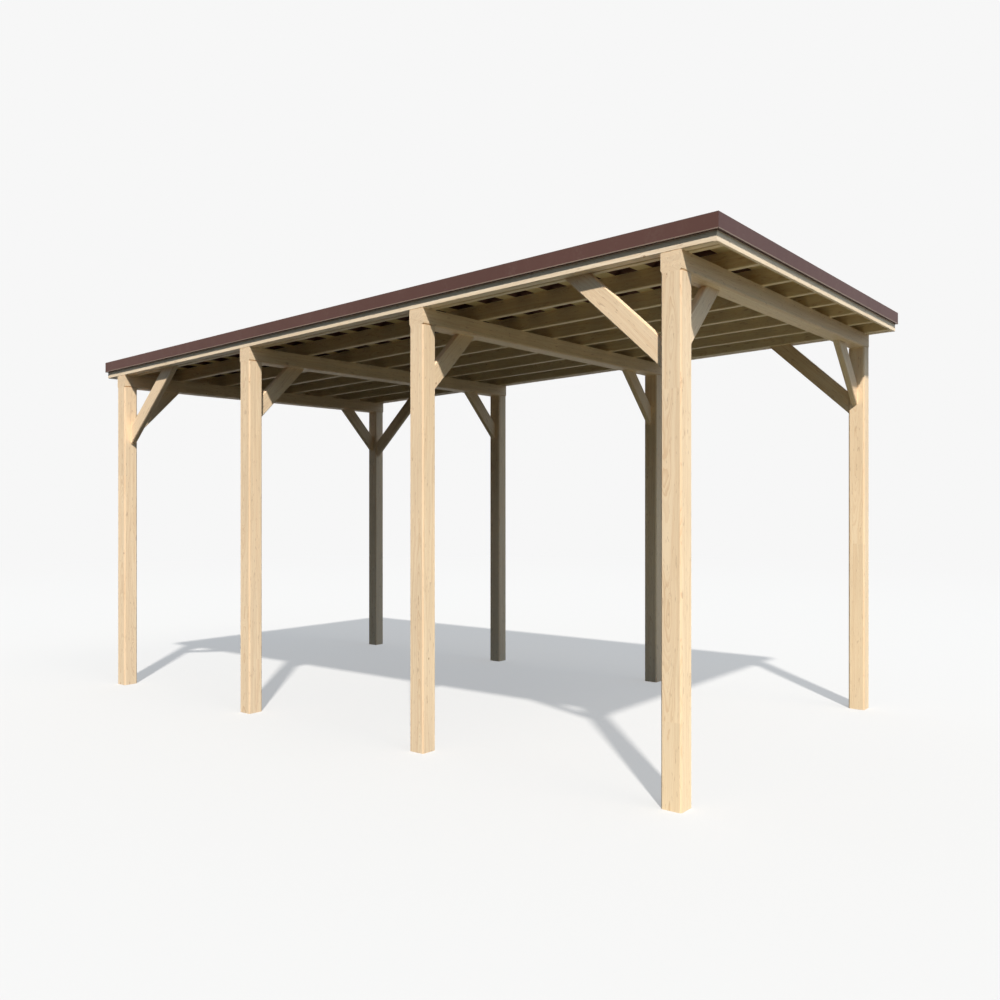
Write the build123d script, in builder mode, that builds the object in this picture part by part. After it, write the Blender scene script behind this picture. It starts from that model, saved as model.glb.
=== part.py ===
"""Tall timber carport: eight glulam posts, four cross beams, lengthwise purlins and a trapezoidal metal roof.

Millimetres.  X runs along the parking bay with the entrance at +X, Y runs across it and Z is up.
The origin is at foot level under the middle of the roof.  The near side is the low side, at -Y.
"""

import os
from math import atan2, hypot, sin, tan

from build123d import *

# Posts
post_size = 160
post_edge = 12
bay_length = 2420
bay_count = 3
width_over_posts = 4230
head_height = 3720

# Fall of the roof, as rise over run
fall_to_rear = 0.0256
fall_to_near = 0.012

# Cross beams, flush with the outer faces of the posts
beam_height = 140
beam_edge = 12

# Knee braces.  Drop is down the post and run is along the timber above, both to the lower edge
brace_thickness = 60
brace_depth = 160
brace_edge = 8
cross_brace_drop = 600
cross_brace_run = 600
cross_brace_off_middle = 20
long_brace_drop = 820
long_brace_run = 890
long_brace_off_middle = 30

# Lengthwise timbers on the cross beams
purlin_thickness = 60
purlin_height = 140
purlin_edge = 5
wide_purlin_pitch = 640
wide_pitch_count = 2
even_pitch_count = 5

# Roof edge
front_overhang = 260
rear_overhang = 220
edge_beam_thickness = 80
edge_height = 188
end_board_thickness = 24
board_edge = 3

# Folded metal trim
trim_sheet = 2
trim_stand_off = 23
trim_bottom = 75
trim_top_width = 90
trim_return_gap = 2
trim_seat_gap = 0.3
trim_sheet_gap = 1.5

# Trapezoidal roof sheets, ribs across the bay
sheet_thickness = 2
rib_height = 40
rib_pitch = 341
rib_base = 210
rib_crest = 150
front_rib_setback = 422
rear_rib_margin = 150
sheet_count = 4
sheet_clearance = 3
lap_gap = 0.3
lap_lip = 20

# Places worked out from the sizes above
roof_length = bay_count * bay_length + post_size + front_overhang + rear_overhang
roof_front = roof_length / 2
roof_rear = -roof_length / 2
side_face = width_over_posts / 2
front_post_face = roof_front - front_overhang
timber_front = roof_front - end_board_thickness
timber_rear = roof_rear + end_board_thickness
timber_length = timber_front - timber_rear
timber_middle = (timber_front + timber_rear) / 2
head_at_origin = head_height - fall_to_rear * front_post_face + fall_to_near * side_face
sky = 2 * (head_height + roof_length * abs(fall_to_rear) + width_over_posts * abs(fall_to_near))
post_centres_x = [front_post_face - post_size / 2 - i * bay_length for i in reversed(range(bay_count + 1))]
post_centre_y = side_face - post_size / 2
outer_purlin_y = side_face - post_size + purlin_thickness / 2
web_angle = atan2(rib_height, (rib_base - rib_crest) / 2)
lap_lift = sheet_thickness + lap_gap


def roof_z(x, y, above_head=0):
    """Height of the roof slope over a plan point, raised from the post heads."""
    return head_at_origin + above_head + fall_to_rear * x + fall_to_near * y


def slope(above_head=0):
    """The plane of the roof slope, raised by a plumb height from the post heads."""
    return Plane(
        origin=(0, 0, roof_z(0, 0, above_head)),
        x_dir=(1, 0, fall_to_rear),
        z_dir=(-fall_to_rear, -fall_to_near, 1),
    )


def underside(piece):
    """The face of a piece that looks straight down, or most nearly so."""
    return piece.faces().sort_by(lambda face: face.normal_at().Z)[0]


def save(piece, name):
    """Label a finished piece and write it under its own name."""
    piece.part.label = name
    export_step(piece.part, f"parts/{name}.step")


def post(x, side):
    """A square post with chamfered corners, standing level and cut to the roof slope."""
    with BuildPart() as piece:
        with BuildSketch(Plane.XY) as foot:
            with Locations((x, side * post_centre_y)):
                Rectangle(post_size, post_size)
            chamfer(foot.vertices(), length=post_edge)
        extrude(amount=sky)
        split(bisect_by=slope(), keep=Keep.BOTTOM)
    return piece


def cross_beam(x):
    """A beam laid over one pair of posts, with plumb sides and chamfered lower edges."""
    with BuildPart() as piece:
        with BuildSketch(Plane.XY):
            with Locations((x, 0)):
                Rectangle(post_size, width_over_posts)
        extrude(amount=sky)
        split(bisect_by=slope(), keep=Keep.TOP)
        split(bisect_by=slope(beam_height), keep=Keep.BOTTOM)
        long_edges = underside(piece).edges().sort_by(SortBy.LENGTH)[-2:]
        chamfer(long_edges, length=beam_edge)
    return piece


def lengthwise_timber(y, thickness, height, edge):
    """A purlin or edge beam that lies on the cross beams and stops behind the end boards."""
    with BuildPart() as piece:
        with BuildSketch(Plane.XY):
            with Locations((timber_middle, y)):
                Rectangle(timber_length, thickness)
        extrude(amount=sky)
        split(bisect_by=slope(beam_height), keep=Keep.TOP)
        split(bisect_by=slope(beam_height + height), keep=Keep.BOTTOM)
        long_edges = underside(piece).edges().sort_by(SortBy.LENGTH)[-2:]
        chamfer(long_edges, length=edge)
    return piece


def end_board(x):
    """A board across the ends of the lengthwise timbers, flush with the sides."""
    with BuildPart() as piece:
        with BuildSketch(Plane.XY):
            with Locations((x, 0)):
                Rectangle(end_board_thickness, width_over_posts)
        extrude(amount=sky)
        split(bisect_by=slope(beam_height), keep=Keep.TOP)
        split(bisect_by=slope(beam_height + edge_height), keep=Keep.BOTTOM)
        long_edges = underside(piece).edges().sort_by(SortBy.LENGTH)[-2:]
        chamfer(long_edges, length=board_edge)
    return piece


def brace(face, post_x, post_y, drop, run, way, head):
    """A knee brace from the face of a post up to the underside of the timber above it.

    face is the plane of the brace, with its X along the timber, and way is 1 or -1 for the sense in which
    the brace leaves the post.  head is the height of the timber's underside over the post heads.
    """
    slant = hypot(run, drop)
    plumb_cut = brace_depth * slant / run
    level_cut = brace_depth * slant / drop
    reach = run * (1 + brace_depth / drop)
    corner = roof_z(post_x, post_y, head)
    with BuildPart() as piece:
        with BuildSketch(face):
            with BuildLine():
                Polyline(
                    (0, corner - drop + plumb_cut),
                    (0, corner - drop),
                    (way * reach, corner + brace_depth),
                    (way * (reach - level_cut), corner + brace_depth),
                    close=True,
                )
            make_face()
        extrude(amount=brace_thickness / 2, both=True)
        long_edges = piece.edges().sort_by(SortBy.LENGTH)[-4:]
        chamfer(long_edges, length=brace_edge)
        split(bisect_by=slope(head), keep=Keep.BOTTOM)
    return piece


def cross_brace(post_x, side):
    """A brace across the bay, a little behind the middle of the post."""
    x = post_x - cross_brace_off_middle
    post_face = side * (side_face - post_size)
    face = Plane(origin=(x, post_face, 0), x_dir=(0, 1, 0), z_dir=(1, 0, 0))
    return brace(face, x, post_face, cross_brace_drop, cross_brace_run, -side, 0)


def long_brace(post_face, side, way):
    """A brace along the bay, from the inner half of the post to the outer purlin."""
    y = side * (post_centre_y - long_brace_off_middle)
    face = Plane(origin=(post_face, y, 0), x_dir=(1, 0, 0), z_dir=(0, -1, 0))
    return brace(face, post_face, y, long_brace_drop, long_brace_run, way, beam_height)


def trim_profile(outward):
    """Outer line of the folded trim, as distances out from the timber and up from its underside.

    It starts at the lip over the roof sheets and ends at the hem that turns back to the timber.
    """
    lip = purlin_height + rib_height + lap_lift + sheet_thickness + trim_sheet_gap
    top = edge_height + trim_seat_gap + trim_sheet
    return [
        (outward * -trim_top_width, lip),
        (outward * -trim_top_width, top),
        (outward * trim_stand_off, top),
        (outward * trim_stand_off, trim_bottom),
        (outward * trim_return_gap, trim_bottom),
    ]


def side_trim(side):
    """Trim along a long side, mitred at both corners."""
    start = roof_rear - trim_stand_off
    run = roof_front + trim_stand_off - start
    timber_face = side * side_face
    inwards = Side.RIGHT if side > 0 else Side.LEFT
    with BuildPart() as piece:
        with BuildSketch(Plane.YZ.offset(start)):
            with BuildLine():
                Polyline(
                    *[
                        (timber_face + out, roof_z(start, timber_face + out, beam_height + up))
                        for out, up in trim_profile(side)
                    ]
                )
                offset(amount=trim_sheet, side=inwards, kind=Kind.INTERSECTION)
            make_face()
        extrude(amount=run * hypot(1, fall_to_rear), dir=(1, 0, fall_to_rear))
        for x, end in ((roof_front, 1), (roof_rear, -1)):
            corner = Plane(origin=(x, timber_face, 0), z_dir=(end, -side, 0))
            split(bisect_by=corner, keep=Keep.BOTTOM)
    return piece


def end_trim(end):
    """Trim across the entrance or the rear, mitred at both corners."""
    start = -side_face - trim_stand_off
    run = -2 * start
    timber_face = end * roof_front
    inwards = Side.RIGHT if end > 0 else Side.LEFT
    with BuildPart() as piece:
        with BuildSketch(Plane(origin=(0, start, 0), x_dir=(1, 0, 0), z_dir=(0, -1, 0))):
            with BuildLine():
                Polyline(
                    *[
                        (timber_face + out, roof_z(timber_face + out, start, beam_height + up))
                        for out, up in trim_profile(end)
                    ]
                )
                offset(amount=trim_sheet, side=inwards, kind=Kind.INTERSECTION)
            make_face()
        extrude(amount=run * hypot(1, fall_to_near), dir=(0, 1, fall_to_near))
        for side in (-1, 1):
            corner = Plane(origin=(timber_face, side * side_face, 0), z_dir=(-end, side, 0))
            split(bisect_by=corner, keep=Keep.BOTTOM)
    return piece


def rib_points(x, lift=0):
    """The feet and the crest of a rib centred on x.  A rib lapped over another is lifted off it."""
    spread = lift * tan(web_angle / 2)
    return [
        (x - rib_base / 2 - lift / sin(web_angle), 0),
        (x - rib_crest / 2 - spread, rib_height + lift),
        (x + rib_crest / 2 + spread, rib_height + lift),
        (x + rib_base / 2 + spread, lift),
    ]


def roof_sheet(points):
    """One trapezoidal sheet on the purlins, from points along X and up from the purlins' tops."""
    low_edge = -side_face + edge_beam_thickness + sheet_clearance
    run = -2 * low_edge
    seat = beam_height + purlin_height
    with BuildPart() as piece:
        with BuildSketch(Plane(origin=(0, low_edge, 0), x_dir=(1, 0, 0), z_dir=(0, -1, 0))):
            with BuildLine():
                Polyline(*[(x, roof_z(x, low_edge, seat + up)) for x, up in points])
                offset(amount=sheet_thickness, side=Side.LEFT, kind=Kind.INTERSECTION)
            make_face()
        extrude(amount=run * hypot(1, fall_to_near), dir=(0, 1, fall_to_near))
    return piece


os.makedirs("parts", exist_ok=True)

# Posts, cross beams and the braces between them, numbered from the rear to the entrance
for number, x in enumerate(post_centres_x, start=1):
    for side, side_name in ((-1, "near"), (1, "far")):
        save(post(x, side), f"post_{side_name}_{number}")
        save(cross_brace(x, side), f"cross_brace_{side_name}_{number}")
    save(cross_beam(x), f"cross_beam_{number}")

# Braces along the bay, at the corner posts only
for end_name, x, way in (("rear", post_centres_x[0], 1), ("front", post_centres_x[-1], -1)):
    for side, side_name in ((-1, "near"), (1, "far")):
        save(long_brace(x + way * post_size / 2, side, way), f"long_brace_{side_name}_{end_name}")

# Purlins, with wider gaps beside the near side
wide_zone = wide_purlin_pitch * wide_pitch_count
even_pitch = (2 * outer_purlin_y - wide_zone) / even_pitch_count
purlin_places = [-outer_purlin_y + i * wide_purlin_pitch for i in range(wide_pitch_count)]
purlin_places += [-outer_purlin_y + wide_zone + i * even_pitch for i in range(even_pitch_count + 1)]
for number, y in enumerate(purlin_places, start=1):
    save(lengthwise_timber(y, purlin_thickness, purlin_height, purlin_edge), f"purlin_{number}")

# Roof edge
for side, side_name in ((-1, "near"), (1, "far")):
    edge_y = side * (side_face - edge_beam_thickness / 2)
    save(lengthwise_timber(edge_y, edge_beam_thickness, edge_height, purlin_edge), f"edge_beam_{side_name}")
    save(side_trim(side), f"trim_{side_name}")
for end, end_name in ((-1, "rear"), (1, "front")):
    save(end_board(end * (roof_front - end_board_thickness / 2)), f"end_board_{end_name}")
    save(end_trim(end), f"trim_{end_name}")

# Roof sheets, each lapped over the first rib of the next
rib_count = int((timber_length - front_rib_setback - rib_base / 2 - rear_rib_margin) // rib_pitch) + 1
rib_places = [timber_front - front_rib_setback - i * rib_pitch for i in reversed(range(rib_count))]
breaks = [round(rib_count * i / sheet_count) for i in range(sheet_count + 1)]
for number in range(1, sheet_count + 1):
    first = breaks[number - 1]
    last = breaks[number]
    points = []
    if number == 1:
        points.append((timber_rear + sheet_clearance, 0))
    for x in rib_places[first:last]:
        points += rib_points(x)
    if number == sheet_count:
        points.append((timber_front - sheet_clearance, 0))
    else:
        points += rib_points(rib_places[last], lap_lift)
        lap_end_x, lap_end_z = points[-1]
        points.append((lap_end_x + lap_lip, lap_end_z))
    save(roof_sheet(points), f"roof_sheet_{number}")
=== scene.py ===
# %% [markdown]
# # A tall timber carport
#
# The real thing is an open frame of spruce: eight glued posts, four cross beams, knee braces, and purlins
# under a metal roof with a folded edge.  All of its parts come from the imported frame, at their real size.
# This lesson gives each of them its finish, adds the hems, the screws and the fillers, and lights it for
# the camera.

# %% Load the frame
import math
import random

import bmesh
import bpy
from mathutils import Matrix, Vector


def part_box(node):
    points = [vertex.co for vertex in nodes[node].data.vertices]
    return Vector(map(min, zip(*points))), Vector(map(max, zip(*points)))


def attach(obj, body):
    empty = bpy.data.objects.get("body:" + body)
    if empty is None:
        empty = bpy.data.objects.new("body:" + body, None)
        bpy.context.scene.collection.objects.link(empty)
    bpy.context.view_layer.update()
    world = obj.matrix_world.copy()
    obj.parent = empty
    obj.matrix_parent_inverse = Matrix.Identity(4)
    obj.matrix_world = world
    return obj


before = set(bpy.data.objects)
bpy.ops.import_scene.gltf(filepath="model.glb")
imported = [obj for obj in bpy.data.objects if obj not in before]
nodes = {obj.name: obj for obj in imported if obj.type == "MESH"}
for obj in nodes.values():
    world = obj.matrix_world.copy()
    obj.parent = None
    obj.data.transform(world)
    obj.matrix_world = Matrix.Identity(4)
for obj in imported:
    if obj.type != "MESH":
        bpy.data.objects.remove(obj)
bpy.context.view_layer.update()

# %% [markdown]
# ## The camera
#
# The photograph was taken from about two metres up, off the front corner, with the camera held level, so
# that the posts stay plumb in the picture.  A level camera with a small upward shift does the same.  Its
# place and its focal length came from fitting the edges, feet and heads of the posts.

# %% Place the camera
CAMERA_PLACE = Vector((6.561, -7.714, 2.075))
CAMERA_AHEAD = Vector((-0.6226, 0.7826, 0.0))
SENSOR_WIDTH = 36.0
FOCAL_PIXELS = 903.0
PICTURE_PIXELS = 1000.0
HORIZON_BELOW_MIDDLE = 10.0

camera_data = bpy.data.cameras.new("camera")
camera_data.sensor_width = SENSOR_WIDTH
camera_data.lens = SENSOR_WIDTH * FOCAL_PIXELS / PICTURE_PIXELS
camera_data.shift_y = HORIZON_BELOW_MIDDLE / PICTURE_PIXELS
camera = bpy.data.objects.new("camera", camera_data)
camera.location = CAMERA_PLACE
camera.rotation_euler = CAMERA_AHEAD.to_track_quat("-Z", "Y").to_euler()
scene = bpy.context.scene
scene.collection.objects.link(camera)
scene.camera = camera
print("camera: lens", round(camera_data.lens, 2), "mm, height", CAMERA_PLACE.z)

# %% [markdown]
# ## Wiring nodes with short names
#
# Every finish below is a small network of shader nodes.  Writing each node and link out in full would hide
# the idea, so one helper class adds a node, feeds its sockets with numbers or with other sockets, and hands
# back its output.


# %% A helper for node networks
class Net:
    """Adds nodes to a material or a group, and links them."""

    def __init__(self, node_tree):
        self.node_tree = node_tree

    def add(self, kind, **settings):
        node = self.node_tree.nodes.new(kind)
        for name, value in settings.items():
            setattr(node, name, value)
        return node

    def feed(self, socket, value):
        if isinstance(value, bpy.types.NodeSocket):
            self.node_tree.links.new(value, socket)
        else:
            socket.default_value = value

    def wire(self, kind, values, output=0, **settings):
        """Adds a node, feeds its inputs in their order and hands back one output."""
        node = self.add(kind, **settings)
        for socket, value in zip(node.inputs, values):
            self.feed(socket, value)
        return node.outputs[output]

    def math(self, operation, *values):
        return self.wire("ShaderNodeMath", values, operation=operation)

    def vector(self, operation, *values):
        number = operation in ("LENGTH", "DISTANCE", "DOT_PRODUCT")
        output = "Value" if number else "Vector"
        return self.wire("ShaderNodeVectorMath", values, output, operation=operation)

    def split(self, vector):
        node = self.add("ShaderNodeSeparateXYZ")
        self.feed(node.inputs[0], vector)
        return node.outputs

    def join(self, x, y, z):
        return self.wire("ShaderNodeCombineXYZ", (x, y, z))

    def grey(self, value):
        return self.join(value, value, value)

    def ramp(self, value, low, high, to_low=0.0, to_high=1.0):
        """Carries a value smoothly from one range to another, and stops at its ends."""
        values = (value, low, high, to_low, to_high)
        return self.wire("ShaderNodeMapRange", values, interpolation_type="SMOOTHSTEP")

    def mix(self, factor, first, second, blend="MIX"):
        """Mixes two colours; on this node their sockets come after those for numbers and vectors."""
        node = self.add("ShaderNodeMix", data_type="RGBA", blend_type=blend)
        self.feed(node.inputs["Factor"], factor)
        self.feed(node.inputs[6], first)
        self.feed(node.inputs[7], second)
        return node.outputs[2]

    def noise(self, vector, scale=1.0, detail=2.0, output="Fac"):
        node = self.add("ShaderNodeTexNoise")
        self.feed(node.inputs["Vector"], vector)
        node.inputs["Scale"].default_value = scale
        node.inputs["Detail"].default_value = detail
        return node.outputs[output]

    def stretched_noise(self, vector, per_metre, detail=2.0, output="Fac"):
        """Noise whose spots are longer one way than another."""
        return self.noise(self.vector("MULTIPLY", vector, per_metre), 1.0, detail, output)

    def bump(self, height, strength, depth):
        node = self.add("ShaderNodeBump")
        node.inputs["Strength"].default_value = strength
        node.inputs["Distance"].default_value = depth
        self.feed(node.inputs["Height"], height)
        return node.outputs["Normal"]

    def use_group(self, group, values):
        """Places a node group, feeds its inputs by their names and hands back its outputs."""
        node = self.add("ShaderNodeGroup", node_tree=group)
        for name, value in values.items():
            self.feed(node.inputs[name], value)
        return node.outputs


print("helper: Net")

# %% [markdown]
# ## Spruce
#
# Spruce is pale, with a thin darker line at the end of each year's growth.  The rings are round about the
# log's middle and the log tapers, so a saw cut beside the middle shows long arches and a cut through it
# shows straight lines.  A solid pattern gives all of that from one rule: it measures each point's distance
# from a wandering, tapering centre line, and repeats every few millimetres.
#
# All the timbers share the pattern, so it is a node group: a network with a name, and with inputs that each
# material fills in.  In its vector, the grain runs along X and the boards are stacked along Y.


# %% Start the spruce group
def new_group(name, inputs, outputs):
    """An empty shader node group, with its sockets, its input node and its output node."""
    group = bpy.data.node_groups.new(name, "ShaderNodeTree")
    for way, sockets in (("INPUT", inputs), ("OUTPUT", outputs)):
        for socket_name, kind in sockets.items():
            group.interface.new_socket(socket_name, in_out=way, socket_type="NodeSocket" + kind)
    net = Net(group)
    return group, net, net.add("NodeGroupInput").outputs, net.add("NodeGroupOutput").inputs


spruce_group, net, ask, give = new_group(
    "spruce_grain",
    {"Vector": "Vector", "Board": "Float", "Half Length": "Float", "Seed": "Float",
     "Pale": "Color", "Late": "Color", "Knot": "Color"},
    {"Color": "Color", "Roughness": "Float", "Height": "Float"},
)
along, up, side = net.split(ask["Vector"])
print("group:", spruce_group.name)

# %% [markdown]
# ### Boards and logs
#
# A glued post is a stack of boards, and each board is a row of lengths from different logs, joined end to
# end with glued fingers.  The pattern first counts in which board and which length a point lies.  White
# noise on those counts throws the same three dice for every point of one length, and the dice say from
# which part of a log it was sawn.

# %% Count the boards and their lengths
BOARD_LENGTH = 2.3
BOARD_STAGGER = 0.618
FINGER_LENGTH = 0.012
FINGER_PITCH = 0.0076

board = net.math("FLOOR", net.math("DIVIDE", up, ask["Board"]))
fingers = net.math("PINGPONG", side, FINGER_PITCH / 2)
fingers = net.math("MULTIPLY", fingers, 2 * FINGER_LENGTH / FINGER_PITCH)
stagger = net.math("MULTIPLY", net.math("ADD", board, ask["Seed"]), BOARD_STAGGER)
length = net.math("DIVIDE", net.math("ADD", along, fingers), BOARD_LENGTH)
length = net.math("FLOOR", net.math("ADD", length, stagger))
white = net.add("ShaderNodeTexWhiteNoise", noise_dimensions="3D")
net.feed(white.inputs["Vector"], net.join(board, length, ask["Seed"]))
dice = net.split(white.outputs["Color"])
print("nodes so far:", len(spruce_group.nodes))

# %% Find the place in the log
FURTHEST_ALONG = 60.0
PITH_NEAREST = 0.030
PITH_SPREAD = 0.065
PITH_ASIDE = 0.09

log_along = net.math("ADD", along, net.math("MULTIPLY", white.outputs["Value"], FURTHEST_ALONG))
board_middle = net.math("MULTIPLY", net.math("ADD", board, 0.5), ask["Board"])
off_middle = net.math("SUBTRACT", up, board_middle)
toss = net.math("MULTIPLY", net.math("SUBTRACT", dice[0], 0.5), 2.0)
pith = net.math("MULTIPLY_ADD", net.math("ABSOLUTE", toss), PITH_SPREAD, PITH_NEAREST)
log_up = net.math("MULTIPLY_ADD", net.math("SIGN", toss), pith, off_middle)
aside = net.math("MULTIPLY", net.math("SUBTRACT", dice[1], 0.5), PITH_ASIDE)
log_side = net.math("ADD", side, aside)
log_place = net.join(log_along, log_up, log_side)
print("nodes so far:", len(spruce_group.nodes))

# %% [markdown]
# ### Knots
#
# A knot is the foot of a branch: darker than the wood, with the rings pushed aside round it.  A cell pattern
# scatters points through the log, in cells that are longer along the grain.  Chance makes a knot of fewer
# than half of them, and gives each its size.

# %% Scatter the knots
KNOT_CELLS = Vector((2.6, 9.0, 9.0))
KNOT_STRETCH = (0.8, 1.0, 1.0)
KNOT_CHANCE = (0.58, 0.60)
KNOT_SIZES = (0.003, 0.0105)
KNOT_RIM = 0.75
KNOT_HEART = 0.8
KNOT_REACH = 5.0
KNOT_PUSH = 0.014

voronoi = net.add("ShaderNodeTexVoronoi", feature="F1")
net.feed(voronoi.inputs["Vector"], net.vector("MULTIPLY", log_place, KNOT_CELLS))
voronoi.inputs["Scale"].default_value = 1.0
centre = net.vector("DIVIDE", voronoi.outputs["Position"], KNOT_CELLS)
here = net.vector("MULTIPLY", log_place, KNOT_STRETCH)
there = net.vector("MULTIPLY", centre, KNOT_STRETCH)
knot_away = net.vector("DISTANCE", here, there)
knot_dice = net.split(voronoi.outputs["Color"])
present = net.ramp(knot_dice[0], *KNOT_CHANCE)
knot_size = net.ramp(knot_dice[1], 0.0, 1.0, *KNOT_SIZES)
rim = net.math("MULTIPLY", knot_size, KNOT_RIM)
knot = net.math("MULTIPLY", present, net.ramp(knot_away, knot_size, rim))
core = net.math("MULTIPLY", knot_size, KNOT_HEART)
heart = net.math("MULTIPLY", present, net.ramp(knot_away, core, 0.0))
round_it = net.math("MULTIPLY", knot_size, KNOT_REACH)
swirl = net.math("MULTIPLY", present, net.ramp(knot_away, round_it, 0.0, 0.0, KNOT_PUSH))
print("nodes so far:", len(spruce_group.nodes))

# %% [markdown]
# ### Year rings
#
# The distance from the log's middle, divided by the width of a ring, counts the years.  A real log is never
# straight or quite round, so slow noise bends its middle and faster noise ripples the rings.  Within a year
# the wood darkens slowly and then stops at a sharp edge, and some years are stronger than others.

# %% Count the years
RING_SPACING = 0.0052
LOG_TAPER = 0.022
WANDER_PER_METRE = (1.3, 2.0, 2.0)
WANDER_FAR = 0.07
RIPPLE_PER_METRE = (6.0, 20.0, 20.0)
RIPPLE_FAR = 0.011


def drift(net, place, per_metre, far):
    """A slow shift of a place, across the grain only."""
    shift = net.stretched_noise(place, per_metre, output="Color")
    shift = net.vector("SUBTRACT", shift, (0.5, 0.5, 0.5))
    return net.vector("MULTIPLY", shift, (0.0, far, far))


wander = drift(net, log_place, WANDER_PER_METRE, WANDER_FAR)
ripple = drift(net, log_place, RIPPLE_PER_METRE, RIPPLE_FAR)
across_log = net.vector("MULTIPLY", log_place, (0.0, 1.0, 1.0))
bent = net.vector("ADD", across_log, net.vector("ADD", wander, ripple))
radius = net.math("ADD", net.vector("LENGTH", bent), swirl)
taper_way = net.math("SIGN", net.math("SUBTRACT", dice[1], 0.5))
taper = net.math("MULTIPLY", taper_way, LOG_TAPER)
radius = net.math("MULTIPLY_ADD", log_along, taper, radius)
year = net.math("DIVIDE", radius, RING_SPACING)
print("nodes so far:", len(spruce_group.nodes))

# %% Darken the end of each year
LATE_RISE = (0.25, 0.90)
LATE_DROP = (1.0, 0.93)
YEARS_APART = 0.34
STRONG_YEARS = (0.36, 0.64)
WEAKEST_YEAR = 0.1
END_SKIN = (-0.0040, -0.0028)
END_FAINTER = 0.45

part_of_year = net.math("FRACT", year)
late_rise = net.ramp(part_of_year, *LATE_RISE)
late_drop = net.ramp(part_of_year, *LATE_DROP)
late = net.math("MULTIPLY", late_rise, late_drop)
years_place = net.join(net.math("MULTIPLY", year, YEARS_APART), ask["Seed"], board)
strong_years = net.ramp(net.noise(years_place, detail=3.0), *STRONG_YEARS)
strength = net.math("MULTIPLY_ADD", strong_years, 1.0 - WEAKEST_YEAR, WEAKEST_YEAR)
late = net.math("MULTIPLY", late, strength)

# A planed end shows its rings only faintly
end = net.math("SUBTRACT", net.math("ABSOLUTE", along), ask["Half Length"])
end = net.ramp(end, *END_SKIN)
late = net.math("MULTIPLY", late, net.math("MULTIPLY_ADD", end, -END_FAINTER, 1.0))
print("nodes so far:", len(spruce_group.nodes))

# %% [markdown]
# ### Fibres and colour
#
# Close up, planed spruce has fine fibres, broad streaks and short dark dashes, all drawn out along the
# grain.  Noise squeezed across the grain gives each of them.  The rings, streaks and fibres then add up to
# one number, which mixes the pale colour with the late one, so that they never look like separate layers.

# %% Draw the fibres, streaks and dashes
FIBRES_PER_METRE = (5.0, 330.0, 330.0)
STREAKS_PER_METRE = (0.8, 34.0, 34.0)
PATCHES_PER_METRE = (1.3, 7.0, 7.0)
DASHES_ALONG = 13.0
DASHES_PER_YEAR = 0.55
DASHES_ASIDE = 60.0

fibres = net.stretched_noise(log_place, FIBRES_PER_METRE, 3.0)
streaks = net.stretched_noise(log_place, STREAKS_PER_METRE, 3.0)
patches = net.stretched_noise(log_place, PATCHES_PER_METRE)
dash_along = net.math("MULTIPLY", log_along, DASHES_ALONG)
dash_year = net.math("MULTIPLY", year, DASHES_PER_YEAR)
dash_side = net.math("MULTIPLY", side, DASHES_ASIDE)
dashes = net.noise(net.join(dash_along, dash_year, dash_side))
print("nodes so far:", len(spruce_group.nodes))

# %% Put the colours together
RING_TINT = 0.44
STRONG_YEAR_TINT = 0.13
STREAK_TINT = 0.18
FIBRE_TINT = 0.14
DASH_TINT = 0.36
KNOT_TINT = 0.62
HEART_TINT = 0.30

band = net.math("MULTIPLY_ADD", late, RING_TINT, net.math("MULTIPLY", strong_years, STRONG_YEAR_TINT))
band = net.math("ADD", band, net.ramp(streaks, 0.45, 0.80, 0.0, STREAK_TINT))
band = net.math("ADD", band, net.ramp(fibres, 0.35, 0.80, 0.0, FIBRE_TINT))
color = net.mix(band, ask["Pale"], ask["Late"])
length_tone = net.ramp(dice[2], 0.0, 1.0, 0.97, 1.02)
patch_tone = net.ramp(patches, 0.3, 0.7, -0.03, 0.03)
tone = net.math("ADD", length_tone, patch_tone)
color = net.mix(1.0, color, net.grey(tone), "MULTIPLY")
color = net.mix(net.ramp(dashes, 0.61, 0.73, 0.0, DASH_TINT), color, ask["Knot"])
color = net.mix(net.math("MULTIPLY", knot, KNOT_TINT), color, ask["Knot"])
color = net.mix(net.math("MULTIPLY", heart, HEART_TINT), color, ask["Late"])
print("nodes so far:", len(spruce_group.nodes))

# %% Finish the spruce group
END_TINT = 0.06
GLUE_LINE = (-0.0004, -0.0001)
GLUE_TINT = 0.45
RING_RELIEF = 0.6
FIBRE_RELIEF = 0.5
KNOT_RELIEF = 0.5

# Sawn ends are thirstier, so they look a little darker, and so does the glue between two boards
color = net.mix(net.math("MULTIPLY", end, END_TINT), color, ask["Late"])
half_board = net.math("MULTIPLY", ask["Board"], 0.5)
glue = net.math("SUBTRACT", net.math("ABSOLUTE", off_middle), half_board)
color = net.mix(net.ramp(glue, *GLUE_LINE, 0.0, GLUE_TINT), color, ask["Late"])

ring_relief = net.math("MULTIPLY", late, RING_RELIEF)
relief = net.math("ADD", ring_relief, net.math("MULTIPLY", fibres, FIBRE_RELIEF))
relief = net.math("ADD", relief, net.math("MULTIPLY", knot, KNOT_RELIEF))
net.feed(give["Color"], color)
net.feed(give["Roughness"], net.ramp(band, 0.0, 0.6, 0.62, 0.50))
net.feed(give["Height"], relief)
print("group:", spruce_group.name, "with", len(spruce_group.nodes), "nodes")

# %% [markdown]
# ## One material for each timber
#
# Two posts from one sawmill never look the same.  Each timber has its own material, which places the same
# group with another seed.  A Mapping node turns the pattern so that the grain runs along the timber: up a
# post, across the bay in a cross beam, down the slope in a purlin and aslant in a brace.

# %% The direction of each timber
LONG_BRACE_RUN = 0.89
LONG_BRACE_DROP = 0.82
ALONG_X = Vector((1, 0, 0))
ALONG_Y = Vector((0, 1, 0))
PLUMB = Vector((0, 0, 1))


def middle_of(name):
    low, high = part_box(name)
    return (low + high) / 2


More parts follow.
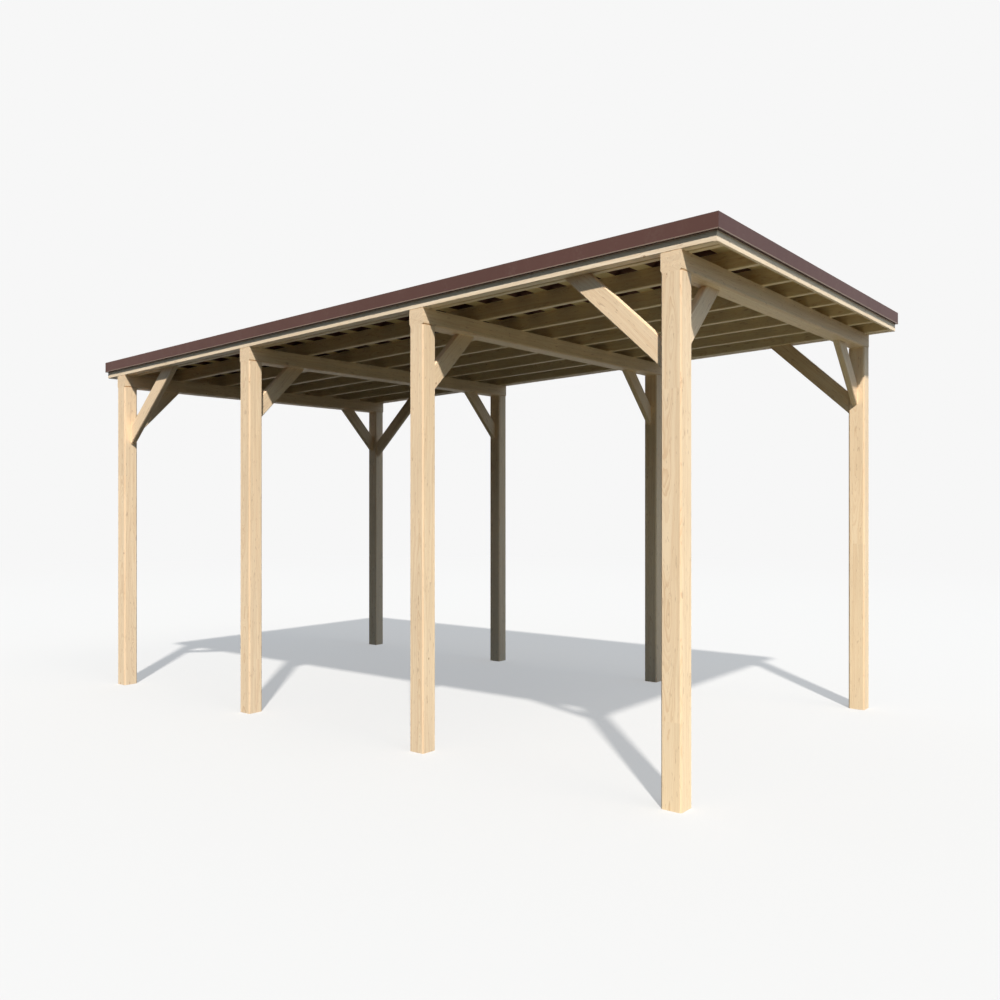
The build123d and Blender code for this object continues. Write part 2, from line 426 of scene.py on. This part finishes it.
def post_top(name):
    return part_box(name)[1].z


run_x = middle_of("post_near_4").x - middle_of("post_near_1").x
run_y = middle_of("post_far_1").y - middle_of("post_near_1").y
FALL_REAR = (post_top("post_near_4") - post_top("post_near_1")) / run_x
FALL_NEAR = (post_top("post_far_1") - post_top("post_near_1")) / run_y
LENGTHWISE = Vector((1, 0, FALL_REAR)).normalized()
ACROSS = Vector((0, 1, FALL_NEAR)).normalized()
ROOF_UP = LENGTHWISE.cross(ACROSS).normalized()


def timber_axes(name):
    """The grain's direction, the direction in which boards are stacked, and how many there are."""
    if name.startswith("post"):
        return PLUMB, ALONG_Y, 4
    if name.startswith("cross_beam"):
        return ACROSS, ROOF_UP, 4
    if name.startswith("cross_brace"):
        lean = 1 if "near" in name else -1
        return Vector((0, lean, 1)).normalized(), ALONG_X, 1
    if name.startswith("long_brace"):
        lean = 1 if "rear" in name else -1
        return Vector((lean * LONG_BRACE_RUN, 0, LONG_BRACE_DROP)).normalized(), ALONG_Y, 1
    if name.startswith("end_board"):
        return ACROSS, ALONG_X, 1
    return LENGTHWISE, ACROSS, 1


print("falls: to the rear", round(FALL_REAR, 4), "to the near side", round(FALL_NEAR, 4))

# %% How the pattern lies in a timber
HALF_POST = 0.08
HALF_BEAM = 0.07
EDGE_SKIN = 0.0005


def reach(name, direction):
    """How far a node's corners reach along a direction."""
    ahead = [direction.dot(vertex.co) for vertex in nodes[name].data.vertices]
    return min(ahead), max(ahead)


def lay_grain(name):
    """The start and the axes of a timber's pattern, the thickness of its boards and half its length."""
    grain, stack, boards = timber_axes(name)
    across = grain.cross(stack).normalized()
    stack = across.cross(grain)
    middle = middle_of(name)
    half_up = abs(reach(name, stack)[1] - stack.dot(middle))
    if boards > 1:
        half_up = HALF_POST if name.startswith("post") else HALF_BEAM

    # The stack reaches a hair past the timber, so that no glue line falls on its face
    start = middle - stack * (half_up + EDGE_SKIN)
    board = (2 * half_up + 2 * EDGE_SKIN) / boards
    low, high = reach(name, grain)
    return start, (grain, stack, across), board, (high - low) / 2


print("boards of a post:", round(lay_grain("post_near_1")[2] * 1000, 1), "mm thick")


# %% Mix the timber's colours
def rgba(red, green, blue):
    """A colour for a socket from the 0 to 255 values a picture shows."""
    def linear(level):
        level /= 255.0
        return level / 12.92 if level <= 0.04045 else ((level + 0.055) / 1.055) ** 2.4
    return (linear(red), linear(green), linear(blue), 1.0)


PALE_POST = rgba(245, 221, 187)
LATE_POST = rgba(213, 172, 128)
PALE_PURLIN = rgba(240, 220, 184)
PALE_EDGE = rgba(250, 231, 203)
LATE_PURLIN = rgba(214, 180, 136)
PALER_POSTS = {"post_near_1": 1.08, "post_near_2": 1.04}
KNOT_BROWN = rgba(158, 112, 76)


def timber_colors(name):
    """The pale wood and the late wood of one timber."""
    pale, late = PALE_PURLIN, LATE_PURLIN
    if name.startswith(("post", "cross", "long")):
        pale, late = PALE_POST, LATE_POST
    elif name.startswith(("edge", "end")):
        pale = PALE_EDGE
    tone = PALER_POSTS.get(name, 1.0)
    return (pale[0] * tone, pale[1] * tone, pale[2] * tone, 1.0), late


print("knots:", [round(level, 3) for level in KNOT_BROWN])

# %% Make the timber materials
CORNER_TURN = (0.30, 0.45)
CORNER_PAINTED_SHADE = 0.32
GRAIN_BUMP = 0.35
GRAIN_DEPTH = 0.0006
TIMBER_SHEEN = 0.30


def new_material(name):
    """A material, with its net, its shader, and the place of each point on the piece."""
    material = bpy.data.materials.new(name)
    material.use_nodes = True
    net = Net(material.node_tree)
    shader = material.node_tree.nodes["Principled BSDF"]
    place = net.add("ShaderNodeTexCoord").outputs["Object"]
    return material, net, shader, place


def timber_material(name, seed):
    start, axes, board, half_length = lay_grain(name)
    pale, late = timber_colors(name)
    material, net, shader, place = new_material("spruce_" + name)
    mapping = net.add("ShaderNodeMapping", vector_type="TEXTURE")
    net.feed(mapping.inputs["Vector"], place)
    mapping.inputs["Location"].default_value = start
    mapping.inputs["Rotation"].default_value = Matrix(axes).transposed().to_euler()
    wood = net.use_group(spruce_group, {
        "Vector": mapping.outputs[0],
        "Board": board,
        "Half Length": half_length,
        "Seed": seed,
        "Pale": pale,
        "Late": late,
        "Knot": KNOT_BROWN,
    })

    # Painted shade: the planed-off corners are mixed a little towards the late colour, which tones down the
    # light they catch
    normal = net.add("ShaderNodeNewGeometry").outputs["True Normal"]
    to_stack = net.vector("DOT_PRODUCT", normal, tuple(axes[1]))
    to_side = net.vector("DOT_PRODUCT", normal, tuple(axes[2]))
    corner = net.math("ABSOLUTE", net.math("MULTIPLY", to_stack, to_side))
    painted_corner_shade = net.ramp(corner, *CORNER_TURN, 0.0, CORNER_PAINTED_SHADE)
    net.feed(shader.inputs["Base Color"], net.mix(painted_corner_shade, wood["Color"], late))
    net.feed(shader.inputs["Roughness"], wood["Roughness"])
    net.feed(shader.inputs["Normal"], net.bump(wood["Height"], GRAIN_BUMP, GRAIN_DEPTH))
    shader.inputs["Specular IOR Level"].default_value = TIMBER_SHEEN
    return material


def dress(name, material):
    """Gives a node of the frame its finish, in each of its material slots."""
    piece = nodes[name]
    if not piece.material_slots:
        piece.data.materials.append(material)
    for material_slot in piece.material_slots:
        material_slot.material = material


timbers = sorted(name for name in nodes if not name.startswith(("trim", "roof_sheet")))
for seed, name in enumerate(timbers, start=3):
    dress(name, timber_material(name, float(seed)))
print("timbers dressed:", len(timbers))

# %% [markdown]
# ## Coated sheet metal
#
# The edge trim and the roof are steel sheet with a baked brown coating.  It is satin, very slightly rippled
# like orange peel, and evenly coloured, with a little dust and faint streaks where rain runs down.  One
# node group mixes all of that, and each piece of metal fills in its own brown; the darker brown of the front
# trim is painted shade.

# %% The coating group
CLOUDS_PER_METRE = 0.9
STREAKS_OF_RAIN = (9.0, 9.0, 0.8)
GRIME_PER_METRE = 34.0
PEEL_PER_METRE = 420.0


def build_coating():
    group, net, ask, give = new_group(
        "baked_coating",
        {"Vector": "Vector", "Seed": "Float", "Coat": "Color", "Dust": "Color", "Dust Amount": "Float"},
        {"Color": "Color", "Roughness": "Float", "Height": "Float"},
    )
    shifted = net.vector("ADD", ask["Vector"], net.join(ask["Seed"], ask["Seed"], 0.0))
    clouds = net.noise(shifted, CLOUDS_PER_METRE, 3.0)
    streaks = net.stretched_noise(shifted, STREAKS_OF_RAIN, 3.0)
    grime = net.noise(shifted, GRIME_PER_METRE, 4.0)
    dust = net.math("MULTIPLY", net.ramp(streaks, 0.42, 0.75), net.ramp(grime, 0.35, 0.7))
    dust = net.math("MULTIPLY", dust, ask["Dust Amount"])
    tone = net.ramp(clouds, 0.3, 0.7, 0.95, 1.05)
    color = net.mix(1.0, ask["Coat"], net.grey(tone), "MULTIPLY")
    net.feed(give["Color"], net.mix(dust, color, ask["Dust"]))
    net.feed(give["Roughness"], net.ramp(dust, 0.0, 0.5, 0.48, 0.64))
    net.feed(give["Height"], net.noise(shifted, PEEL_PER_METRE, 1.0))
    return group


coating_group = build_coating()
print("group:", coating_group.name, "with", len(coating_group.nodes), "nodes")

# %% [markdown]
# ### The two sides of a roof sheet
#
# Seen from below, the flats of the roof sheets have a cream backing coat.  The hollows of the ribs get a
# darker brown, which is painted shade.  A sheet is one thin piece, so its material tells the sides apart by
# the way a face looks, and the flats from the ribs by their height above the purlins.  Only the upper side
# is glossy, and that gloss is a clear coat whose weight follows the side, while the specular level stays the
# same all over.  The export keeps no specular level that changes over a surface, but it does keep the weight
# of a clear coat, so the gloss of the sheets is such a coat.

# %% A coating for trim and roof
TRIM_BROWN = rgba(97, 69, 63)
FRONT_BROWN_PAINTED_SHADE = rgba(88, 63, 61)
SHEET_BROWN = rgba(84, 60, 52)
HOLLOW_PAINTED_SHADE = rgba(106, 78, 68)
BACKING_CREAM = rgba(222, 200, 156)
DUST_GREY = rgba(150, 132, 118)
TRIM_SHEEN = 0.13
TOP_COAT = 0.44
TOP_COAT_ROUGHNESS = 0.52
RAIN_RUN = (1.0, 0.12, 1.0)
PEEL_BUMP = 0.25
PEEL_DEPTH = 0.00008
BACKING_DEPTH = 0.001

sheets = sorted(name for name in nodes if name.startswith("roof_sheet"))
trims = sorted(name for name in nodes if name.startswith("trim"))
PURLIN_TOPS = min(reach(name, ROOF_UP)[0] for name in sheets)


def coated_material(name, seed, coat, dust_amount, sheen, backing=None):
    """A baked coating; with a backing colour, the underside is matt, has that colour on its flats and
    painted shade elsewhere.
    """
    material, net, shader, place = new_material("coated_" + name)
    coating = net.use_group(coating_group, {
        "Vector": net.vector("MULTIPLY", place, RAIN_RUN if backing else (1.0, 1.0, 1.0)),
        "Seed": seed,
        "Coat": coat,
        "Dust": DUST_GREY,
        "Dust Amount": dust_amount,
    })
    color = coating["Color"]
    shader.inputs["Specular IOR Level"].default_value = 0.0 if backing else sheen
    if backing:
        normal = net.add("ShaderNodeNewGeometry").outputs["True Normal"]
        top_side = net.ramp(net.vector("DOT_PRODUCT", normal, tuple(ROOF_UP)), -0.1, 0.1)
        # Painted shade: under the sheet, everything but the flats gets a darker brown, so the rib hollows
        # look shaded
        color = net.mix(top_side, HOLLOW_PAINTED_SHADE, color)
        height = net.vector("DOT_PRODUCT", place, tuple(ROOF_UP))
        height = net.math("SUBTRACT", height, PURLIN_TOPS)
        color = net.mix(net.ramp(height, BACKING_DEPTH, BACKING_DEPTH / 2), color, backing)
        net.feed(shader.inputs["Coat Weight"], net.math("MULTIPLY", top_side, sheen))
        shader.inputs["Coat Roughness"].default_value = TOP_COAT_ROUGHNESS
    net.feed(shader.inputs["Base Color"], color)
    net.feed(shader.inputs["Roughness"], coating["Roughness"])
    net.feed(shader.inputs["Normal"], net.bump(coating["Height"], PEEL_BUMP, PEEL_DEPTH))
    return material


for seed, name in enumerate(trims):
    # The front trim's darker brown is painted shade on the same coating
    brown = FRONT_BROWN_PAINTED_SHADE if name == "trim_front" else TRIM_BROWN
    dress(name, coated_material(name, seed * 3.7, brown, 0.10, TRIM_SHEEN))
for seed, name in enumerate(sheets):
    dress(name, coated_material(name, seed * 5.3, SHEET_BROWN, 0.14, TOP_COAT, BACKING_CREAM))
print("coated nodes:", len(trims) + len(sheets), "purlin tops at", round(PURLIN_TOPS, 4))

# %% [markdown]
# ## The hem of the trim
#
# The lower edge of the trim is folded back on itself, so that it is stiff and nobody cuts a hand on it.  The
# fold is thicker than the sheet and its bend catches the light, so it shows as a thin, paler line; its paler
# brown is also a painted highlight.  A long block with its lengthwise edges rounded does that; a real fold
# would look the same from outside and cost many more faces.


# %% Helpers for new pieces
def on_roof_plane(x, y, height):
    """The point above x, y whose height is measured square to the roof."""
    return Vector((x, y, (height - ROOF_UP.x * x - ROOF_UP.y * y) / ROOF_UP.z))


def add_piece(name, shape, material):
    """Turns a bmesh into a piece that goes with the frame."""
    bmesh.ops.recalc_face_normals(shape, faces=shape.faces)
    mesh = bpy.data.meshes.new(name)
    shape.to_mesh(mesh)
    shape.free()
    mesh.materials.append(material)
    piece = bpy.data.objects.new(name, mesh)
    scene.collection.objects.link(piece)
    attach(piece, "root")
    print(name + ":", len(mesh.polygons), "faces")
    return piece


print("the roof over the middle is", round(on_roof_plane(0.0, 0.0, PURLIN_TOPS).z, 3), "m up")

# %% Fold the hems
HEM_HEIGHT = 0.008
HEM_THICK = 0.0035
HEM_PROUD = 0.0015
HEM_ROUND = 0.0011
# The hem's paler brown is a painted highlight
HEM_PAINTED_HIGHLIGHT = rgba(142, 124, 112)
TRIM_FOOT = min(reach(name, ROOF_UP)[0] for name in trims)
hem_highlight_material = coated_material("hem", 2.9, HEM_PAINTED_HIGHLIGHT, 0.10, TRIM_SHEEN)


def fold_hem(name, axis, slope, outward):
    """A rounded bead along the lower edge of one trim."""
    low, high = reach(name, axis)
    length = high - low + 2 * HEM_PROUD
    shape = bmesh.new()
    bmesh.ops.create_cube(shape, size=1.0, matrix=Matrix.Diagonal((length, HEM_THICK, HEM_HEIGHT, 1.0)))
    edges = [edge for edge in shape.edges if edge.calc_length() > length / 2]
    bmesh.ops.bevel(shape, geom=edges, offset=HEM_ROUND, offset_type="OFFSET", segments=2, profile=0.5,
                    affect="EDGES", material=-1)
    middle = middle_of(name)
    middle += outward * (reach(name, outward)[1] - outward.dot(middle) + HEM_PROUD - HEM_THICK / 2)
    place = on_roof_plane(middle.x, middle.y, TRIM_FOOT) + PLUMB * HEM_HEIGHT / 2
    turn = Matrix((slope / slope.dot(axis), outward, PLUMB)).transposed().to_4x4()
    bmesh.ops.transform(shape, verts=shape.verts, matrix=Matrix.Translation(place) @ turn)
    return add_piece("hem_" + name, shape, hem_highlight_material)


fold_hem("trim_near", ALONG_X, LENGTHWISE, -ALONG_Y)
fold_hem("trim_far", ALONG_X, LENGTHWISE, ALONG_Y)
fold_hem("trim_front", ALONG_Y, ACROSS, ALONG_X)
fold_hem("trim_rear", ALONG_Y, ACROSS, -ALONG_X)

# %% [markdown]
# ## Screws
#
# Real screws are turned until they are tight, so no two heads point the same way.  Chance turns each one
# here, and it starts from a fixed number, so that every run gives the same picture.  A head is one or two
# short cones: only a few faces, because there are hundreds of heads and each is smaller than a coin.

# %% Helpers for screws
chance = random.Random(11)


def standing(place, up):
    """A matrix that stands a small part on a surface, turned by chance."""
    turn = Matrix.Rotation(chance.uniform(0.0, math.tau), 4, "Z")
    return Matrix.Translation(place) @ up.to_track_quat("Z", "Y").to_matrix().to_4x4() @ turn


def add_head(shape, stand, segments, radius, taper, low, depth):
    """One round or six-sided step of a screw head, from a height above the surface."""
    matrix = stand @ Matrix.Translation((0, 0, low + depth / 2))
    bmesh.ops.create_cone(shape, cap_ends=True, segments=segments, radius1=radius, radius2=radius * taper,
                          depth=depth, matrix=matrix)


def evenly(count, half):
    """So many places in a row, evenly spaced from -half to half."""
    return [half * (2 * number / (count - 1) - 1) for number in range(count)]


print("three in a row:", evenly(3, 1.0))

# %% [markdown]
# ### The roof's screws
#
# The roof sheets are held by screws with a six-sided head on a washer.  They go through the flats, into the
# purlins: one in each flat on the two outer purlins, and one in every second flat on the others.  A row of
# the same screws stitches each lap, on top of its rib.

# %% Screw the roof down
RIB_PITCH = 0.341
RIB_CREST = 0.0443
FLAT_COUNT = 23
SHEET_THICK = 0.002
SHEET_SHORT_OF_TIMBER = 0.003
FRONT_RIB_BACK = 0.422
LAP_RIBS = (5, 10, 15)
LAP_SCREWS = 10
HALF_LAP_ROW = 1.9
WASHER_SEGMENTS = 12
WASHER_RADIUS = 0.008
WASHER_DEPTH = 0.0016
HEX_SEGMENTS = 6
HEX_RADIUS = 0.0047
HEX_DEPTH = 0.0048
SCREW_SHEEN = 0.22

sheet_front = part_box("roof_sheet_4")[1].x
sheet_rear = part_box("roof_sheet_1")[0].x
front_rib = sheet_front + SHEET_SHORT_OF_TIMBER - FRONT_RIB_BACK
flats = [front_rib + RIB_PITCH * (0.5 - number) for number in range(FLAT_COUNT)]
purlin_lines = [middle_of(f"purlin_{number}").y for number in range(1, 9)]


def add_roof_screw(shape, place):
    stand = standing(place, ROOF_UP)
    add_head(shape, stand, WASHER_SEGMENTS, WASHER_RADIUS, 0.90, 0.0, WASHER_DEPTH)
    add_head(shape, stand, HEX_SEGMENTS, HEX_RADIUS, 0.94, WASHER_DEPTH, HEX_DEPTH)


roof_screws = bmesh.new()
for line, y in enumerate(purlin_lines):
    step = 1 if line in (0, len(purlin_lines) - 1) else 2
    for x in flats[::step]:
        add_roof_screw(roof_screws, on_roof_plane(x, y, PURLIN_TOPS + SHEET_THICK))
for rib in LAP_RIBS:
    x = front_rib - RIB_PITCH * rib
    for y in evenly(LAP_SCREWS, HALF_LAP_ROW):
        add_roof_screw(roof_screws, on_roof_plane(x, y, PURLIN_TOPS + RIB_CREST))
roof_screw_coat = coated_material("roof_screws", 8.1, SHEET_BROWN, 0.2, SCREW_SHEEN)
add_piece("roof_screws", roof_screws, roof_screw_coat)

# %% [markdown]
# ## Fillers at the sides of the sheets
#
# Between the ribs, the sheets leave small openings under the lip of the side trims, where birds and snow
# would get in.  Strips of dark foam close them.  Each one is a block as wide as the flat at its foot, whose
# upper corners lean out to the ribs beside it.  Fine noise gives the foam its cells, as colour and as bump.

# %% Foam
FOAM_GREY = rgba(66, 60, 56)
FOAM_DARK = rgba(44, 40, 38)
FOAM_CELLS = 700.0
FOAM_BUMP = 0.6
FOAM_DEPTH = 0.0005

foam, net, shader, place = new_material("foam")
cells = net.noise(place, FOAM_CELLS)
net.feed(shader.inputs["Base Color"], net.mix(cells, FOAM_GREY, FOAM_DARK))
net.feed(shader.inputs["Normal"], net.bump(cells, FOAM_BUMP, FOAM_DEPTH))
shader.inputs["Roughness"].default_value = 0.95
shader.inputs["Specular IOR Level"].default_value = 0.1
print("material:", foam.name)

# %% Fill the openings
FLAT_WIDTH = 0.129
RIB_SPLAY = 0.058
FILLER_DEPTH = 0.018
FILLER_HEIGHT = 0.0425
FILLER_LINE = 2.024
FILLER_GAP = 0.0003
ON_SLOPE = Matrix((LENGTHWISE, ACROSS, ROOF_UP)).transposed().to_4x4()

last_rib = flats[-2] - RIB_PITCH / 2
openings = [(x, FLAT_WIDTH, (-1, 1)) for x in flats[1:-1]]
for rib, edge in ((front_rib, sheet_front), (last_rib, sheet_rear)):
    way = math.copysign(1, edge - rib)
    start = rib + way * (RIB_PITCH - FLAT_WIDTH) / 2
    openings.append(((start + edge) / 2, abs(edge - start), (-way,)))


def add_filler(shape, x, y, width, rib_sides):
    """A block on the flat of a sheet, which leans out on the sides that have a rib."""
    block = Matrix.Diagonal((width, FILLER_DEPTH, FILLER_HEIGHT, 1.0))
    corners = bmesh.ops.create_cube(shape, size=1.0, matrix=block)["verts"]
    for rib_side in rib_sides:
        leaning = [corner for corner in corners if corner.co.z > 0 and corner.co.x * rib_side > 0]
        bmesh.ops.translate(shape, vec=(rib_side * RIB_SPLAY / 2, 0, 0), verts=leaning)
    place = on_roof_plane(x, y, PURLIN_TOPS + SHEET_THICK + FILLER_GAP + FILLER_HEIGHT / 2)
    bmesh.ops.transform(shape, verts=corners, matrix=Matrix.Translation(place) @ ON_SLOPE)


fillers = bmesh.new()
for x, width, rib_sides in openings:
    for side in (-1, 1):
        add_filler(fillers, x, side * FILLER_LINE, width, rib_sides)
add_piece("side_fillers", fillers, foam)

# %% [markdown]
# ## The trim's screws
#
# The trim is screwed down through its top, in a row along each edge.  These heads show most, so on such a
# trim they are low, round and coated in its own brown.  One wide, flat cone is enough for each.

# %% Screw the trim on
PAN_SEGMENTS = 12
PAN_RADIUS = 0.0055
PAN_TAPER = 0.62
PAN_DEPTH = 0.0026
IN_FROM_EDGE = 0.068
SIDE_SCREWS = 13
HALF_SIDE_ROW = 3.72
END_SCREWS = 7
HALF_END_ROW = 1.82

trim_top = max(reach(name, ROOF_UP)[1] for name in trims)
side_line = reach("trim_far", ALONG_Y)[1] - IN_FROM_EDGE
end_line = reach("trim_front", ALONG_X)[1] - IN_FROM_EDGE
places = [(x, side * side_line) for x in evenly(SIDE_SCREWS, HALF_SIDE_ROW) for side in (-1, 1)]
places += [(side * end_line, y) for y in evenly(END_SCREWS, HALF_END_ROW) for side in (-1, 1)]
trim_screws = bmesh.new()
for x, y in places:
    stand = standing(on_roof_plane(x, y, trim_top), ROOF_UP)
    add_head(trim_screws, stand, PAN_SEGMENTS, PAN_RADIUS, PAN_TAPER, 0.0, PAN_DEPTH)
trim_screw_coat = coated_material("trim_screws", 4.4, TRIM_BROWN, 0.1, TRIM_SHEEN)
add_piece("trim_screws", trim_screws, trim_screw_coat)

# %% [markdown]
# ## The screws of the braces
#
# Each brace is held by two long screws at either end, driven in from its lower face.  Their flat heads are
# zinc plated and pulled just under the surface of the soft wood; here they stand a hair proud, so that they
# show.  An inset of the top face, pushed in, makes the hole for the driver.

# %% Zinc plating
ZINC_YELLOW = rgba(196, 182, 142)
ZINC_GREY = rgba(158, 152, 136)
CLOUDY_PER_METRE = 900.0
GRAINY_PER_METRE = 1500.0

zinc, net, shader, place = new_material("zinc_plating")
clouds = net.noise(place, CLOUDY_PER_METRE)
grains = net.noise(place, GRAINY_PER_METRE)
net.feed(shader.inputs["Base Color"], net.mix(clouds, ZINC_YELLOW, ZINC_GREY))
net.feed(shader.inputs["Roughness"], net.ramp(grains, 0.3, 0.7, 0.32, 0.50))
shader.inputs["Metallic"].default_value = 1.0
print("material:", zinc.name)

# %% Screw the braces
HEAD_SEGMENTS = 16
HEAD_RADIUS = 0.0062
HEAD_TAPER = 0.92
HEAD_DEPTH = 0.0016
HEAD_PROUD = 0.0006
DRIVE_WIDTH = 0.0030
DRIVE_DEPTH = 0.0012
ON_THE_FACE = 0.001
FROM_END = (0.050, 0.095)
OFF_LINE = (0.011, -0.011)


def add_brace_screw(shape, spot, down):
    """A flat head with the hole for the driver pressed in."""
    before = set(shape.faces)
    low = HEAD_PROUD - HEAD_DEPTH
    add_head(shape, standing(spot, down), HEAD_SEGMENTS, HEAD_RADIUS, HEAD_TAPER, low, HEAD_DEPTH)
    new_faces = [face for face in shape.faces if face not in before]
    cap = max(new_faces, key=lambda face: down.dot(face.calc_center_median()))
    bmesh.ops.inset_individual(shape, faces=[cap], thickness=DRIVE_WIDTH, depth=-DRIVE_DEPTH)


brace_screws = bmesh.new()
for name in sorted(name for name in nodes if "brace" in name):
    grain, stack = timber_axes(name)[:2]
    down = grain.cross(stack).normalized()
    down = -down if down.z > 0 else down
    face = reach(name, down)[1]
    middle = stack.dot(middle_of(name))
    corners = [vertex.co for vertex in nodes[name].data.vertices]
    ends = [grain.dot(corner) for corner in corners if down.dot(corner) > face - ON_THE_FACE]
    for end, inwards in ((min(ends), 1), (max(ends), -1)):
        for distance, off in zip(FROM_END, OFF_LINE):
            spot = grain * (end + inwards * distance) + down * face + stack * (middle + off)
            add_brace_screw(brace_screws, spot, down)
add_piece("brace_screws", brace_screws, zinc)

# %% [markdown]
# ## The floor
#
# A plain pale floor takes the shadow.  It fades into the white of the background before its edge, so that no
# horizon shows, and part of it glows, which keeps the shadow soft.  A white floor would also throw so much
# light back up that it wiped out the shade under the roof.  So for that light it is a dark grey before the
# entrance, and nearly black away from there.  Light Path tells the two uses of the floor apart.

# %% The floor
FLOOR_HALF = 60.0

floor_mesh = bpy.data.meshes.new("floor")
floor_shape = bmesh.new()
bmesh.ops.create_grid(floor_shape, x_segments=1, y_segments=1, size=FLOOR_HALF)
floor_shape.to_mesh(floor_mesh)
floor_shape.free()
floor = bpy.data.objects.new("floor", floor_mesh)
scene.collection.objects.link(floor)
print("floor:", 2 * FLOOR_HALF, "m a side")

# %% The floor's material
BACKGROUND = (0.93, 0.93, 0.93, 1.0)
FLOOR_SEEN = (0.57, 0.567, 0.564, 1.0)
FLOOR_GLOW = 0.42
FADE_START = 9.0
FADE_END = 30.0
BOUNCE_MIDDLE = (5.6, -0.8, 0.0)
BOUNCE_NEAR = (0.34, 0.345, 0.25, 1.0)
BOUNCE_FAR = (0.012, 0.012, 0.008, 1.0)
BOUNCE_START = 1.0
BOUNCE_END = 5.3


def seen_by_camera(net):
    """1 for what the camera sees, straight or by a reflection, and 0 for light thrown on other things."""
    rays = net.add("ShaderNodeLightPath").outputs
    reflected = net.math("MAXIMUM", rays["Is Glossy Ray"], rays["Is Transmission Ray"])
    return net.math("MAXIMUM", rays["Is Camera Ray"], reflected)


floor_material = bpy.data.materials.new("pale_floor")
floor_material.use_nodes = True
floor_material.node_tree.nodes.clear()
net = Net(floor_material.node_tree)
seen = seen_by_camera(net)
place = net.add("ShaderNodeTexCoord").outputs["Object"]
away = net.ramp(net.vector("DISTANCE", place, BOUNCE_MIDDLE), BOUNCE_START, BOUNCE_END)
bounce = net.mix(away, BOUNCE_NEAR, BOUNCE_FAR)
diffuse = net.add("ShaderNodeBsdfDiffuse")
net.feed(diffuse.inputs["Color"], net.mix(seen, bounce, FLOOR_SEEN))
glow = net.add("ShaderNodeEmission")
glow.inputs["Color"].default_value = BACKGROUND
fade = net.ramp(net.vector("LENGTH", place), FADE_START, FADE_END, FLOOR_GLOW, 1.0)
fade = net.math("MULTIPLY", fade, seen)
surface = net.wire("ShaderNodeMixShader", (fade, diffuse.outputs[0], glow.outputs[0]))
net.feed(net.add("ShaderNodeOutputMaterial").inputs["Surface"], surface)
floor.data.materials.append(floor_material)
print("the floor fades from", FADE_START, "to", FADE_END, "m")

# %% [markdown]
# ## The light
#
# The world fills the shade with a weak, bluish light.  It is a gradient rather than one colour: brighter
# towards the entrance and behind, and darker low down, so that the shade under the roof stays deep.  To the
# camera the same world is a plain backdrop, nearly white.

# %% The world
FILL_ALL_ROUND = (0.13, 0.18, 0.225)
FILL_AHEAD = (0.42, 0.58, 0.82)
FILL_BEHIND = (0.62, 0.66, 0.72)
FILL_BEHIND_SHARE = 0.7
FILL_LOW = 0.12
FILL_RISE = 0.45

world = bpy.data.worlds.new("studio")
scene.world = world
world.use_nodes = True
world.node_tree.nodes.clear()
net = Net(world.node_tree)
way = net.split(net.add("ShaderNodeTexCoord").outputs["Generated"])
ahead = net.math("MAXIMUM", way[0], 0.0)
behind = net.math("MULTIPLY", net.math("SUBTRACT", way[1], way[0]), FILL_BEHIND_SHARE)
behind = net.math("MAXIMUM", behind, 0.0)
fill_color = net.vector("MULTIPLY_ADD", net.grey(ahead), FILL_AHEAD, FILL_ALL_ROUND)
fill_color = net.vector("MULTIPLY_ADD", net.grey(behind), FILL_BEHIND, fill_color)
rise = net.ramp(way[2], 0.0, FILL_RISE, FILL_LOW, 1.0)
fill = net.add("ShaderNodeBackground")
net.feed(fill.inputs["Color"], net.vector("MULTIPLY", fill_color, net.grey(rise)))
backdrop = net.add("ShaderNodeBackground")
backdrop.inputs["Color"].default_value = BACKGROUND
backdrop.inputs["Strength"].default_value = 1.0
surface = net.wire("ShaderNodeMixShader", (seen_by_camera(net), fill.outputs[0], backdrop.outputs[0]))
net.feed(net.add("ShaderNodeOutputWorld").inputs["Surface"], surface)
print("world:", len(world.node_tree.nodes), "nodes")

# %% [markdown]
# The main lamp stands 50 degrees high, behind the camera's right shoulder; the edges of the shadows on the
# braces and on the far front post gave its place.  A broad, weak lamp beside it brings haze over the
# entrance.  Both are of the kind whose light comes from one direction everywhere, so that all of the posts
# get the same light.

# %% The lamps
SUN_WARM = (1.0, 0.96, 0.90)
SUN_STRENGTH = 5.15
SUN_SIZE = math.radians(2.0)
SUN_WAY = Vector((-0.575, 0.605, -1.0)).normalized()
HAZE_WARM = (1.0, 0.88, 0.66)
HAZE_STRENGTH = 0.38
HAZE_SIZE = math.radians(24.0)
HAZE_WAY = Vector((-0.62, 0.0, -0.85)).normalized()


def add_lamp(name, strength, color, size, way):
    lamp_data = bpy.data.lights.new(name, "SUN")
    lamp_data.energy = strength
    lamp_data.color = color
    lamp_data.angle = size
    lamp = bpy.data.objects.new(name, lamp_data)
    lamp.rotation_euler = way.to_track_quat("-Z", "Y").to_euler()
    scene.collection.objects.link(lamp)
    print(name + ": height", round(math.degrees(math.asin(-way.z))), "degrees, strength", strength)


add_lamp("sun", SUN_STRENGTH, SUN_WARM, SUN_SIZE, SUN_WAY)
add_lamp("haze", HAZE_STRENGTH, HAZE_WARM, HAZE_SIZE, HAZE_WAY)
scene.view_settings.view_transform = "Standard"
